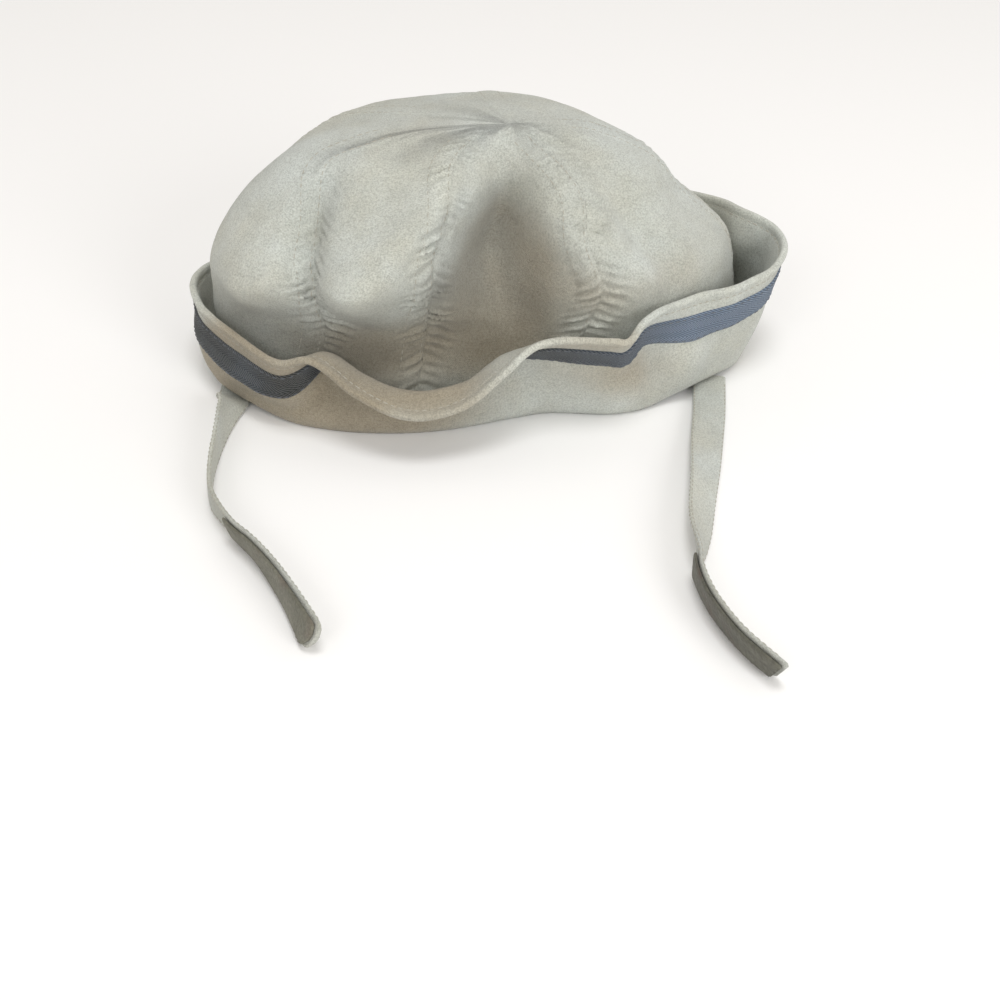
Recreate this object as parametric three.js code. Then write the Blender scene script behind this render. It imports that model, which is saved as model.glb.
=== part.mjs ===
// A child's sailor sun hat of washed cotton, resting on the turned-up fold of its brim.
// Millimetres, +Z up, the front of the hat towards -Y. Left and right are those of someone facing it.
// The origin lies on the surface, under the middle of the hat with its straps laid out. The tables
// below are measured from the middle of the head opening, which then stands behind the origin.

import * as THREE from 'three';

// Cloth, tape and strap sizes
const crownWall = 1.6;
const brimWall = 2.2;
const tapeWidth = 10;
const tapeThickness = 0.8;
const tapeBelowRim = 7;
const strapWidth = 11.5;
const strapThickness = 1.6;
const padWidth = 10;
const padThickness = 1.3;
const pieceGap = 0.3;

// Head seam, fold and tip
const seamDrop = 0.3;
const foldFlat = 4;
const foldSetBack = 1;
const crownTip = 0.995;
const crownYaw = 4;
const openingX = 1.4;
const openingY = 56.8;

// How the cloth curves: shares of the height or length that the brim's section pulls straight
const seamFall = 0.8;
const foldRun = 0.5;
const foldLean = 0.18;
const risePull = 0.42;
const flopPull = 0.8;
const flopFrom = 0;
const flopFull = 100;

// Ends of the straps
const leftEndRound = 7;
const rightEndRound = 3;
const endNarrowing = 0.45;
const leftEndSlant = 4;
const rightEndSlant = 7;
const slantRun = 22;

// Mesh density
const goreRows = 20;
const foldSamples = 8;
const stationsPerSection = 3;
const strapStep = 4;
const routeSamples = 40;

// Colours and how dull each cloth is
const clothColour = 0xcfcec0;
const tapeColour = 0x6c7a93;
const loopColour = 0x8d8c78;
const hookColour = 0x77776a;
const clothRoughness = 0.95;
const tapeRoughness = 0.9;
const padRoughness = 1;

// Level sections of the crown, from the head seam up to the point where the gores meet
const crownSections = [
  { up: 0.00, z: 6, midX: -5, midY: 0, halfWidth: 90, front: 46, back: 49 },
  { up: 0.12, z: 16, midX: -5, midY: 0, halfWidth: 92, front: 50, back: 53 },
  { up: 0.28, z: 32, midX: -6, midY: 0, halfWidth: 92, front: 52, back: 57 },
  { up: 0.44, z: 48, midX: -7, midY: 0, halfWidth: 89, front: 51, back: 58 },
  { up: 0.58, z: 62, midX: -11, midY: 0, halfWidth: 77, front: 45, back: 55 },
  { up: 0.72, z: 75, midX: -10, midY: 0, halfWidth: 65, front: 35, back: 49 },
  { up: 0.84, z: 85, midX: -11, midY: -1, halfWidth: 47, front: 22, back: 41 },
  { up: 0.94, z: 90, midX: -4, midY: -4, halfWidth: 23, front: 9, back: 21 },
  { up: 1.00, z: 91, midX: 6, midY: -5, halfWidth: 1, front: 1, back: 1 },
];

// Seams between the gores: degrees round from the front at the base, half way up and at the top,
// and how many columns of the mesh the gore to the right of the seam takes
const seams = [
  { gore: 'crown_gore_front', base: -13, middle: -6, top: 3, columns: 12 },
  { gore: 'crown_gore_right', base: 17, middle: 31, top: 48, columns: 16 },
  { gore: 'crown_gore_back_right', base: 92, middle: 97, top: 105, columns: 10 },
  { gore: 'crown_gore_back_left', base: 168, middle: 170, top: 175, columns: 10 },
  { gore: 'crown_gore_left', base: 248, middle: 245, top: 236, columns: 14 },
  { gore: 'crown_gore_front_left', base: 316, middle: 324, top: 291, columns: 12 },
];

// Soft dents at the back: where each lies, how far it spreads across and along, how far its long way
// turns from upright, and how deep it is
const dents = [
  { fold: 'hollow of the back', angle: 190, up: 0.50, across: 22, along: 24, turn: 10, depth: 6 },
  { fold: 'hollow of the back right', angle: 128, up: 0.55, across: 12, along: 22, turn: -10, depth: 4 },
  { fold: 'hollow of the back left', angle: 246, up: 0.52, across: 12, along: 22, turn: 8, depth: 4 },
];

// How softly a fold's rows run together, over what breadth its left side turns into its right, and how
// nearly it moves all of its cloth one way
const foldSoftness = 7;
const foldTurn = 4;
const foldSteady = 0.75;

// Folds of the slumped crown, with ridges as negative depths: the path of each over the crown, how far it
// spreads to its left and right as seen from outside, and how deep it is
const folds = {
  'front hollow': [
    { angle: 4, up: 0, left: 36, right: 30, depth: 13 },
    { angle: 5, up: 0.15, left: 35, right: 28, depth: 22 },
    { angle: 7, up: 0.32, left: 30, right: 25, depth: 27 },
    { angle: 10, up: 0.48, left: 23, right: 20, depth: 29 },
    { angle: 13, up: 0.62, left: 15, right: 15, depth: 28 },
    { angle: 16, up: 0.74, left: 9, right: 10, depth: 17 },
    { angle: 18, up: 0.83, left: 6, right: 8, depth: 3 },
  ],
  'crease in the hollow': [
    { angle: 18, up: 0.2, left: 10, right: 9, depth: 1 },
    { angle: 11, up: 0.36, left: 9, right: 9, depth: 3 },
    { angle: 9, up: 0.5, left: 8, right: 8, depth: 4 },
    { angle: 13, up: 0.64, left: 6, right: 7, depth: 5 },
    { angle: 17, up: 0.76, left: 5, right: 6, depth: 2 },
  ],
  'ridge left of the hollow': [
    { angle: -24, up: 0.42, left: 12, right: 6, depth: -4 },
    { angle: -18, up: 0.52, left: 12, right: 6, depth: -7 },
    { angle: -11, up: 0.63, left: 10, right: 6, depth: -6 },
    { angle: -5, up: 0.74, left: 8, right: 5, depth: -4 },
    { angle: 0, up: 0.84, left: 7, right: 5, depth: -2 },
  ],
  'lip of the left bulge': [
    { angle: -72, up: 0.43, left: 12, right: 7, depth: -1 },
    { angle: -62, up: 0.46, left: 14, right: 8, depth: -5 },
    { angle: -53, up: 0.43, left: 15, right: 8, depth: -9 },
    { angle: -46, up: 0.48, left: 13, right: 7, depth: -4 },
  ],
  'lip of the bulge beside the ridge': [
    { angle: -38, up: 0.55, left: 11, right: 7, depth: -2 },
    { angle: -31, up: 0.5, left: 13, right: 7, depth: -6 },
    { angle: -24, up: 0.46, left: 14, right: 7, depth: -8 },
    { angle: -19, up: 0.47, left: 10, right: 6, depth: -3 },
  ],
  'tuck under the bulges': [
    { angle: -78, up: 0.3, left: 10, right: 20, depth: 1.5 },
    { angle: -55, up: 0.28, left: 9, right: 22, depth: 5.5 },
    { angle: -38, up: 0.3, left: 10, right: 22, depth: 8 },
    { angle: -24, up: 0.28, left: 9, right: 22, depth: 9 },
    { angle: -12, up: 0.29, left: 10, right: 20, depth: 4 },
  ],
  'valley of the left seam': [
    { angle: -36, up: 0.4, left: 6, right: 6, depth: 3 },
    { angle: -38, up: 0.52, left: 6, right: 7, depth: 9 },
    { angle: -43, up: 0.64, left: 5, right: 7, depth: 10 },
    { angle: -48, up: 0.75, left: 5, right: 8, depth: 3 },
  ],
  'lip of the right gore': [
    { angle: 28, up: 0.49, left: 13, right: 9, depth: -1 },
    { angle: 40, up: 0.49, left: 15, right: 10, depth: -2.5 },
    { angle: 56, up: 0.47, left: 15, right: 10, depth: -2.5 },
    { angle: 72, up: 0.46, left: 13, right: 9, depth: -0.5 },
  ],
  'crease left of the top': [
    { angle: -68, up: 0.865, left: 4, right: 7, depth: 0.5 },
    { angle: -46, up: 0.885, left: 4, right: 8, depth: 3 },
    { angle: -26, up: 0.895, left: 4, right: 7, depth: 1 },
  ],
  'crease right of the top': [
    { angle: 36, up: 0.9, left: 4, right: 6, depth: 1 },
    { angle: 52, up: 0.88, left: 4, right: 8, depth: 3 },
    { angle: 68, up: 0.84, left: 4, right: 7, depth: 0.5 },
  ],
  'fall of the right gore': [
    { angle: 46, up: 0.36, left: 5, right: 5, depth: 1 },
    { angle: 49, up: 0.52, left: 5, right: 6, depth: 4 },
    { angle: 51, up: 0.66, left: 6, right: 7, depth: 3.5 },
    { angle: 52, up: 0.78, left: 6, right: 7, depth: 1 },
  ],
};

// Sections of the turned-up brim, from the left side round the front: the fold and the rim in plan,
// the rim's height, how far the rim tips outwards from upright, and how far the fold is lifted
const brimSections = [
  { foldX: -101, foldY: 10, rimX: -104, rimY: 14, rimZ: 30, tip: 8, lift: 0 },
  { foldX: -102, foldY: -6, rimX: -105, rimY: -4, rimZ: 33, tip: 10, lift: 0 },
  { foldX: -96, foldY: -23, rimX: -99, rimY: -20, rimZ: 32, tip: 15, lift: 2.4 },
  { foldX: -84, foldY: -36, rimX: -86, rimY: -38, rimZ: 31, tip: 15, lift: 2.4 },
  { foldX: -69, foldY: -45, rimX: -71, rimY: -53, rimZ: 30, tip: 25, lift: 0 },
  { foldX: -55, foldY: -50, rimX: -58, rimY: -58, rimZ: 32, tip: 84, lift: 0 },
  { foldX: -42, foldY: -52, rimX: -44, rimY: -66, rimZ: 24, tip: 106, lift: 0 },
  { foldX: -26, foldY: -52, rimX: -27, rimY: -72, rimZ: 19.5, tip: 108, lift: 0 },
  { foldX: -10, foldY: -49, rimX: -10, rimY: -70, rimZ: 21.5, tip: 104, lift: 0 },
  { foldX: 8, foldY: -43, rimX: 5, rimY: -65, rimZ: 32, tip: 88, lift: 0 },
  { foldX: 20, foldY: -40, rimX: 17, rimY: -58, rimZ: 38.6, tip: 54, lift: 0 },
  { foldX: 38, foldY: -41, rimX: 38, rimY: -56, rimZ: 38.6, tip: 44, lift: 0 },
  { foldX: 46, foldY: -40, rimX: 45, rimY: -54, rimZ: 37.5, tip: 42, lift: 0 },
  { foldX: 54, foldY: -37, rimX: 52, rimY: -48, rimZ: 42.5, tip: 34, lift: 0 },
  { foldX: 68, foldY: -29, rimX: 69, rimY: -31, rimZ: 41.5, tip: 15, lift: 2.4 },
  { foldX: 80, foldY: -19, rimX: 85, rimY: -24, rimZ: 42, tip: 18, lift: 2.4 },
  { foldX: 89, foldY: -7, rimX: 99, rimY: -13, rimZ: 44, tip: 22, lift: 0 },
  { foldX: 92, foldY: 8, rimX: 103, rimY: 3, rimZ: 46, tip: 22, lift: 0 },
  { foldX: 86, foldY: 27, rimX: 91, rimY: 21, rimZ: 49, tip: 15, lift: 0 },
  { foldX: 66, foldY: 43, rimX: 73, rimY: 42, rimZ: 46, tip: 12, lift: 0 },
  { foldX: 34, foldY: 52, rimX: 36, rimY: 60, rimZ: 44, tip: 12, lift: 0 },
  { foldX: -5, foldY: 54, rimX: -5, rimY: 63, rimZ: 43, tip: 12, lift: 0 },
  { foldX: -44, foldY: 48, rimX: -47, rimY: 56, rimZ: 40, tip: 12, lift: 0 },
  { foldX: -77, foldY: 36, rimX: -81, rimY: 42, rimZ: 34, tip: 12, lift: 0 },
  { foldX: -94, foldY: 24, rimX: -96, rimY: 28, rimZ: 28, tip: 10, lift: 0 },
];

// Routes of the straps over the surface, from under the fold to the free end, with the roll of the strap:
// both turn up on edge, so that the pads face outwards
const leftStrapRoute = [
  { x: -90, y: -20, roll: 0 },
  { x: -90, y: -31, roll: -6 },
  { x: -89.8, y: -42, roll: -60 },
  { x: -90.3, y: -54, roll: -80 },
  { x: -90.5, y: -66, roll: -90 },
  { x: -90.2, y: -79, roll: -94 },
  { x: -88.5, y: -92, roll: -92 },
  { x: -84.5, y: -101.5, roll: -82 },
  { x: -77.5, y: -112, roll: -73 },
  { x: -70.5, y: -121, roll: -78 },
  { x: -63.7, y: -132, roll: -88 },
  { x: -57.5, y: -143.7, roll: -96 },
  { x: -49, y: -162, roll: -114 },
];
const rightStrapRoute = [
  { x: 78, y: -17, roll: 0 },
  { x: 76.3, y: -31, roll: -4 },
  { x: 74.5, y: -44, roll: -12 },
  { x: 72, y: -59, roll: -18 },
  { x: 69.8, y: -73, roll: -28 },
  { x: 67.3, y: -88, roll: -41 },
  { x: 65.2, y: -100, roll: -46 },
  { x: 63.6, y: -110, roll: -53 },
  { x: 62.3, y: -119, roll: -69 },
  { x: 61.1, y: -127.5, roll: -89 },
  { x: 61.2, y: -135, roll: -84 },
  { x: 62.8, y: -144.5, roll: -80 },
  { x: 65.9, y: -154, roll: -77 },
  { x: 70.5, y: -164, roll: -75 },
  { x: 78, y: -175.5, roll: -74 },
];
const leftPadStart = 93;
const rightPadStart = 114;
const padEndMargin = 0.5;

const degrees = Math.PI / 180;
const upward = new THREE.Vector3(0, 0, 1);

// A smooth curve through the named columns of four rows, a share of the way from the second to the third
function blendRows(before, from, to, after, share) {
  const row = {};
  for (const column of Object.keys(from)) {
    if (typeof from[column] !== 'number') continue;
    const [a, b, c, d] = [before[column], from[column], to[column], after[column]];
    const bend = 2 * a - 5 * b + 4 * c - d + share * (3 * (b - c) + d - a);
    row[column] = b + 0.5 * share * (c - a + share * bend);
  }
  return row;
}

function rowInLoop(rows, place) {
  const count = rows.length;
  const index = Math.floor(place);
  const pick = (step) => rows[(index + step + count) % count];
  return blendRows(pick(-1), pick(0), pick(1), pick(2), place - index);
}

function rowAlong(rows, place) {
  const last = rows.length - 1;
  const index = Math.min(Math.floor(place), last - 1);
  const pick = (step) => rows[Math.min(Math.max(index + step, 0), last)];
  return blendRows(pick(-1), pick(0), pick(1), pick(2), place - index);
}

// The crown before it slumped, at an angle round from the front and a share of the way up
function crownForm(angle, up) {
  const index = crownSections.findLastIndex((row) => row.up <= up && row.up < 1);
  const [below, above] = crownSections.slice(index, index + 2);
  const section = rowAlong(crownSections, index + (up - below.up) / (above.up - below.up));
  const [side, ahead] = [Math.sin(angle), Math.cos(angle)];
  const depth = ahead > 0 ? section.front : section.back;
  const aside = section.halfWidth * side;
  const swing = Math.tan(crownYaw * degrees) * aside;
  return new THREE.Vector3(section.midX + aside, section.midY - depth * ahead + swing, section.z);
}

// The ways round and up a surface at one of its points, and the way out of it
function surfaceFrame(surface, angle, up) {
  const reach = 0.01;
  const low = Math.max(up - reach, 0);
  const high = Math.min(up + reach, crownTip);
  const around = surface(angle + reach, up).sub(surface(angle - reach, up)).normalize();
  const rise = surface(angle, high).sub(surface(angle, low)).normalize();
  const out = around.clone().cross(rise).normalize();
  return { around, rise, out };
}

const dentFrames = dents.map((dent) => {
  const { around, rise, out } = surfaceFrame(crownForm, dent.angle * degrees, dent.up);
  around.applyAxisAngle(out, dent.turn * degrees);
  rise.crossVectors(out, around);
  return { ...dent, centre: crownForm(dent.angle * degrees, dent.up), around, rise, out };
});

// The folds as close rows of points, each with the ways out of the crown and to the fold's left
const foldPaths = Object.values(folds).map((rows) => {
  const last = rows.length - 1;
  const samples = foldSamples * last;
  const places = Array.from({ length: samples + 1 }, (_, index) => (index / samples) * last);
  const path = places.map((place) => {
    const row = rowAlong(rows, place);
    const { out } = surfaceFrame(crownForm, row.angle * degrees, row.up);
    return { ...row, out, point: crownForm(row.angle * degrees, row.up) };
  });
  path.forEach((step, index) => {
    const before = path[Math.max(index - 1, 0)].point;
    const after = path[Math.min(index + 1, samples)].point;
    step.leftward = step.out.clone().cross(after.clone().sub(before).normalize());
  });
  const heading = new THREE.Vector3();
  for (const step of path) heading.addScaledVector(step.out, Math.abs(step.depth));
  heading.normalize();
  for (const step of path) step.out.lerp(heading, foldSteady).normalize();
  return path;
});

function smoothStep(value, low, high) {
  const share = Math.min(Math.max((value - low) / (high - low), 0), 1);
  return share * share * (3 - 2 * share);
}

// How far a fold moves a point of the crown: the fold's rows near the point run softly together
function foldMove(path, point) {
  const apart = path.map((step) => step.point.distanceToSquared(point));
  const nearest = Math.min(...apart);
  const weights = apart.map((distance) => Math.exp((nearest - distance) / (foldSoftness * foldSoftness)));
  const whole = weights.reduce((sum, weight) => sum + weight, 0);
  const [centre, out, leftward] = [new THREE.Vector3(), new THREE.Vector3(), new THREE.Vector3()];
  let [left, right, depth] = [0, 0, 0];
  path.forEach((step, index) => {
    const weight = weights[index] / whole;
    centre.addScaledVector(step.point, weight);
    out.addScaledVector(step.out, weight);
    leftward.addScaledVector(step.leftward, weight);
    left += weight * step.left;
    right += weight * step.right;
    depth += weight * step.depth;
  });
  const offset = point.clone().sub(centre);
  const reach = right + (left - right) * smoothStep(offset.dot(leftward), -foldTurn, foldTurn);
  return out.multiplyScalar(-depth * Math.exp(-offset.lengthSq() / (reach * reach)));
}

function crownSurface(angle, up) {
  const point = crownForm(angle, up);
  const moved = point.clone();
  for (const dent of dentFrames) {
    const offset = point.clone().sub(dent.centre);
    const across = offset.dot(dent.around) / dent.across;
    const along = offset.dot(dent.rise) / dent.along;
    const through = offset.dot(dent.out) / (dent.across + dent.along);
    const share = Math.exp(-across * across - along * along - through * through);
    moved.addScaledVector(dent.out, -dent.depth * share);
  }
  for (const path of foldPaths) moved.add(foldMove(path, point));
  return moved;
}

// A closed body from the two faces of a grid of points, with strips along its open edges
function closedBody(outer, inner, closedAround) {
  const rows = outer.length;
  const columns = outer[0].length;
  const points = [...outer.flat(), ...inner.flat()];
  const at = (face, row, column) => face * rows * columns + (row % rows) * columns + column;
  const triangles = [];
  const quad = (a, b, c, d) => triangles.push(a, b, c, a, c, d);
  const lastRow = closedAround ? rows : rows - 1;
  for (let row = 0; row < lastRow; row += 1) {
    for (let column = 0; column < columns - 1; column += 1) {
      quad(at(0, row, column), at(0, row + 1, column), at(0, row + 1, column + 1), at(0, row, column + 1));
      quad(at(1, row, column), at(1, row, column + 1), at(1, row + 1, column + 1), at(1, row + 1, column));
    }
    const end = columns - 1;
    quad(at(0, row, 0), at(1, row, 0), at(1, row + 1, 0), at(0, row + 1, 0));
    quad(at(0, row, end), at(0, row + 1, end), at(1, row + 1, end), at(1, row, end));
  }
  if (!closedAround) {
    for (let column = 0; column < columns - 1; column += 1) {
      const end = rows - 1;
      quad(at(0, 0, column), at(0, 0, column + 1), at(1, 0, column + 1), at(1, 0, column));
      quad(at(0, end, column), at(1, end, column), at(1, end, column + 1), at(0, end, column + 1));
    }
  }
  return facingOut(points, triangles);
}

// The triangles turned over where the body would hold a negative volume
function facingOut(points, triangles) {
  let volume = 0;
  for (let index = 0; index < triangles.length; index += 3) {
    const [a, b, c] = triangles.slice(index, index + 3).map((corner) => points[corner]);
    volume += a.dot(b.clone().cross(c));
  }
  const geometry = new THREE.BufferGeometry().setFromPoints(points);
  geometry.setIndex(volume > 0 ? triangles : triangles.reverse());
  geometry.computeVertexNormals();
  return geometry;
}

function clothMaterial(color, roughness) {
  return new THREE.MeshStandardMaterial({ color, roughness, metalness: 0 });
}

const hat = new THREE.Group();

function addPiece(name, geometry, material) {
  const mesh = new THREE.Mesh(geometry, material);
  mesh.name = name;
  hat.add(mesh);
}

// Gores of the crown
function seamAngle(seam, up) {
  const low = 2 * (up - 0.5) * (up - 1);
  const half = 4 * up * (1 - up);
  const high = 2 * up * (up - 0.5);
  return (low * seam.base + half * seam.middle + high * seam.top) * degrees;
}

function goreGeometry(seam, nextSeam) {
  const outer = [];
  const inner = [];
  for (let column = 0; column <= seam.columns; column += 1) {
    const outerLine = [];
    const innerLine = [];
    for (let row = 0; row <= goreRows; row += 1) {
      const up = (row / goreRows) * crownTip;
      const start = seamAngle(seam, up);
      const end = seamAngle(nextSeam, up);
      const middle = crownForm((start + end) / 2, up);
      const arc = crownForm(start, up).distanceTo(middle) + middle.distanceTo(crownForm(end, up));
      const margin = (pieceGap / 2 / arc) * (end - start);
      const angle = start + margin + (column / seam.columns) * (end - start - 2 * margin);
      const point = crownSurface(angle, up);
      const { out } = surfaceFrame(crownSurface, angle, up);
      outerLine.push(point);
      innerLine.push(point.clone().addScaledVector(out, -crownWall));
    }
    outer.push(outerLine);
    inner.push(innerLine);
  }
  return closedBody(outer, inner, false);
}

seams.forEach((seam, index) => {
  const next = { ...seams[(index + 1) % seams.length] };
  if (index === seams.length - 1) {
    for (const level of ['base', 'middle', 'top']) next[level] += 360;
  }
  addPiece(seam.gore, goreGeometry(seam, next), clothMaterial(clothColour, clothRoughness));
});

// The brim: down from the head seam, out along the flat of the fold, and up to the rim
function brimLine(place) {
  const section = rowInLoop(brimSections, place);
  const base = crownSections[0];
  const depth = section.foldY < 0 ? base.front : base.back;
  const angle = Math.atan2((section.foldX - base.midX) / base.halfWidth, -section.foldY / depth);
  const outward = new THREE.Vector3(Math.sin(angle) / base.halfWidth, -Math.cos(angle) / depth, 0);
  outward.normalize();
  const floor = section.lift + brimWall / 2;
  const fold = new THREE.Vector3(section.foldX, section.foldY, floor).addScaledVector(outward, -foldSetBack);
  const foldInside = fold.clone().addScaledVector(outward, -foldFlat);
  const { out } = surfaceFrame(crownSurface, angle, 0);
  const seam = crownSurface(angle, 0).addScaledVector(out, -crownWall / 2);
  seam.z -= seamDrop;
  const rim = new THREE.Vector3(section.rimX, section.rimY, section.rimZ);
  return { outward, fold, foldInside, seam, rim, tip: section.tip * degrees };
}

function brimSection(place) {
  const { outward, fold, foldInside, seam, rim, tip } = brimLine(place);
  const drop = seam.z - foldInside.z;
  const seamPull = seam.clone().addScaledVector(upward, -seamFall * drop);
  const insidePull = foldInside.clone().addScaledVector(outward, -foldRun * drop);
  const fall = new THREE.CubicBezierCurve3(seam, seamPull, insidePull, foldInside);
  const length = fold.distanceTo(rim);
  const foldPull = fold.clone().addScaledVector(outward, foldLean * length);
  foldPull.addScaledVector(upward, risePull * length);
  const rimWay = outward.clone().multiplyScalar(Math.sin(tip)).addScaledVector(upward, Math.cos(tip));
  const flopped = smoothStep(tip, flopFrom * degrees, flopFull * degrees);
  const pull = risePull + (flopPull - risePull) * flopped;
  const rimPull = rim.clone().addScaledVector(rimWay, -pull * length);
  const rise = new THREE.CubicBezierCurve3(fold, foldPull, rimPull, rim);
  const riseLength = rise.getLength();
  const points = [seam, fall.getPointAt(0.5), foldInside, fold];
  const tapeFoot = 1 - (tapeBelowRim + tapeWidth) / riseLength;
  for (const share of [0.3, 0.6]) points.push(rise.getPointAt(share * tapeFoot));
  for (const below of [tapeWidth, tapeWidth / 2, 0]) {
    points.push(rise.getPointAt(1 - (tapeBelowRim + below) / riseLength));
  }
  points.push(rim);
  return points;
}

// Places along a section of the brim: the flat of the fold, and the width of the tape
const foldPoints = [2, 3];
const tapePoints = [6, 7, 8];

function brimGrid() {
  const stations = brimSections.length * stationsPerSection;
  const lines = [];
  for (let station = 0; station < stations; station += 1) {
    lines.push(brimSection(station / stationsPerSection));
  }
  const pick = (station, point) => lines[(station + stations) % stations][point];
  const last = lines[0].length - 1;
  const outs = lines.map((line, station) => line.map((point, index) => {
    if (foldPoints.includes(index)) return upward.clone().negate();
    const around = pick(station + 1, index).clone().sub(pick(station - 1, index));
    const rise = line[Math.min(index + 1, last)].clone().sub(line[Math.max(index - 1, 0)]);
    if (index === 0) rise.set(0, 0, -1);
    return around.cross(rise).normalize();
  }));
  return { lines, outs };
}

function offsetLines({ lines, outs }, distance) {
  return lines.map((line, station) => (
    line.map((point, index) => point.clone().addScaledVector(outs[station][index], distance))
  ));
}

const brimCloth = brimGrid();
const brimOuter = offsetLines(brimCloth, brimWall / 2);
const brimInner = offsetLines(brimCloth, -brimWall / 2);
addPiece('brim', closedBody(brimOuter, brimInner, true), clothMaterial(clothColour, clothRoughness));

// The tape, on the outer face of the brim
const tapeCloth = {
  lines: brimCloth.lines.map((line) => tapePoints.map((index) => line[index])),
  outs: brimCloth.outs.map((line) => tapePoints.map((index) => line[index])),
};
const tapeInner = offsetLines(tapeCloth, brimWall / 2 + pieceGap);
const tapeOuter = offsetLines(tapeCloth, brimWall / 2 + pieceGap + tapeThickness);
addPiece('brim_tape', closedBody(tapeOuter, tapeInner, true), clothMaterial(tapeColour, tapeRoughness));

// A strap's middle line on the surface: it stands on its lower edge where it rolls over
function strapLine(route) {
  const rise = (roll) => (
    0.5 * strapWidth * Math.abs(Math.sin(roll)) + 0.5 * strapThickness * Math.abs(Math.cos(roll))
  );
  const count = routeSamples * (route.length - 1);
  const samples = [];
  for (let index = 0; index <= count; index += 1) {
    const row = rowAlong(route, index / routeSamples);
    const roll = row.roll * degrees;
    const point = new THREE.Vector3(row.x, row.y, rise(roll));
    const way = index === 0 ? 0 : samples[index - 1].way + samples[index - 1].point.distanceTo(point);
    samples.push({ point, roll, way });
  }
  return samples;
}

function strapFrames(route) {
  const samples = strapLine(route);
  const length = samples.at(-1).way;
  const steps = Math.round(length / strapStep);
  const frames = [];
  for (let step = 0; step <= steps; step += 1) {
    const way = (step / steps) * length;
    const index = Math.max(samples.findLastIndex((sample) => sample.way <= way + 1e-6), 0);
    const { point, roll } = samples[index];
    const back = samples[Math.max(index - 3, 0)].point;
    const ahead = samples[Math.min(index + 3, samples.length - 1)].point;
    const tangent = ahead.clone().sub(back).setZ(0).normalize();
    const side = upward.clone().cross(tangent).normalize();
    const width = side.clone().multiplyScalar(Math.cos(roll)).addScaledVector(upward, Math.sin(roll));
    const face = side.clone().multiplyScalar(-Math.sin(roll)).addScaledVector(upward, Math.cos(roll));
    frames.push({ way, length, point, tangent, width, face });
  }
  return frames;
}

// A flat ribbon between two heights over the strap's face, narrowed towards its end and cut on the slant
function ribbon(frames, width, low, high, endRound, endSlant) {
  const faceAt = (height) => frames.map((frame) => {
    const past = Math.max(frame.way - (frames.at(-1).way - endRound), 0) / endRound;
    const half = 0.5 * width * (1 - endNarrowing * past * past);
    const slant = endSlant * (1 - smoothStep(frames.at(-1).way - frame.way, 0, slantRun));
    const middle = frame.point.clone().addScaledVector(frame.face, height);
    return [-half, 0, half].map((across) => (
      middle.clone().addScaledVector(frame.width, across)
        .addScaledVector(frame.tangent, -slant * across / strapWidth)
    ));
  });
  return closedBody(faceAt(high), faceAt(low), false);
}

function addStrap(strap, pad, route, padStart, endRound, endSlant, padColour) {
  const frames = strapFrames(route);
  const halfStrap = strapThickness / 2;
  const strapBody = ribbon(frames, strapWidth, -halfStrap, halfStrap, endRound, endSlant);
  addPiece(strap, strapBody, clothMaterial(clothColour, clothRoughness));
  const padFrames = frames.filter(({ way, length }) => way >= padStart && way <= length - padEndMargin);
  const padLow = -halfStrap - pieceGap - padThickness;
  const padHigh = -halfStrap - pieceGap;
  const padBody = ribbon(padFrames, padWidth, padLow, padHigh, endRound, endSlant);
  addPiece(pad, padBody, clothMaterial(padColour, padRoughness));
}

addStrap('left_strap', 'loop_pad', leftStrapRoute, leftPadStart, leftEndRound, leftEndSlant, loopColour);
addStrap('right_strap', 'hook_pad', rightStrapRoute, rightPadStart, rightEndRound, rightEndSlant, hookColour);

hat.position.set(openingX, openingY, 0);

export default hat;
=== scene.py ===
import math
from functools import partial, partialmethod

import bmesh
import bpy
import numpy as np
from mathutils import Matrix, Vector, noise


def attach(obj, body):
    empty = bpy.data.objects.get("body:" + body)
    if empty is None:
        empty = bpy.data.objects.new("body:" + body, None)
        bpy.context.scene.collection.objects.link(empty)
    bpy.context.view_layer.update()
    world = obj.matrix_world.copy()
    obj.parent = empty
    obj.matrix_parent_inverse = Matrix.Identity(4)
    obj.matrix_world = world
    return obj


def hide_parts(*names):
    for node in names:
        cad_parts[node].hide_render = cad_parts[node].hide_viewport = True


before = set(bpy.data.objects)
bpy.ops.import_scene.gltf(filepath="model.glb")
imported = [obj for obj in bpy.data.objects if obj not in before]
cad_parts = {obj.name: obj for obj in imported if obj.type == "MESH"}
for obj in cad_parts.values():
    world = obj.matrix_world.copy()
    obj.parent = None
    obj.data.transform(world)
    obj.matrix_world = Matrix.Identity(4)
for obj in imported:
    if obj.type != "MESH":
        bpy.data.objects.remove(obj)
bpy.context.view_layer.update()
mm = 0.001
mapUnit = 100.0  # millimetres of cloth in one unit of its flat map
sharpAngle = math.radians(55)
opening = np.array((1.4, 56.8, 0.0))  # middle of the head opening, which the tables are measured from
upward = np.array((0.0, 0.0, 1.0))


def addObject(name, data):
    made = bpy.data.objects.new(name, data)
    bpy.context.collection.objects.link(made)
    return made


def aimed(name, data, place, target):
    made = addObject(name, data)
    made.location = place
    made.rotation_mode = "QUATERNION"
    made.rotation_quaternion = (Vector(target) - Vector(place)).to_track_quat("-Z", "Y")
    return made


# camera at the photograph's angle
photoView = {"place": (1.4, -406.5, 276.1), "looksAt": (3.96, -32.75, 0.0), "lens": 52.56, "sensor": 36.0}
cameraData = bpy.data.cameras.new("photo_camera")
cameraData.lens = photoView["lens"]
cameraData.sensor_width = photoView["sensor"]
ends = (Vector(photoView[end]) * mm for end in ("place", "looksAt"))
bpy.context.scene.camera = aimed("photo_camera", cameraData, *ends)
bpy.context.scene.view_settings.view_transform = "Standard"
print("camera set")


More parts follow.
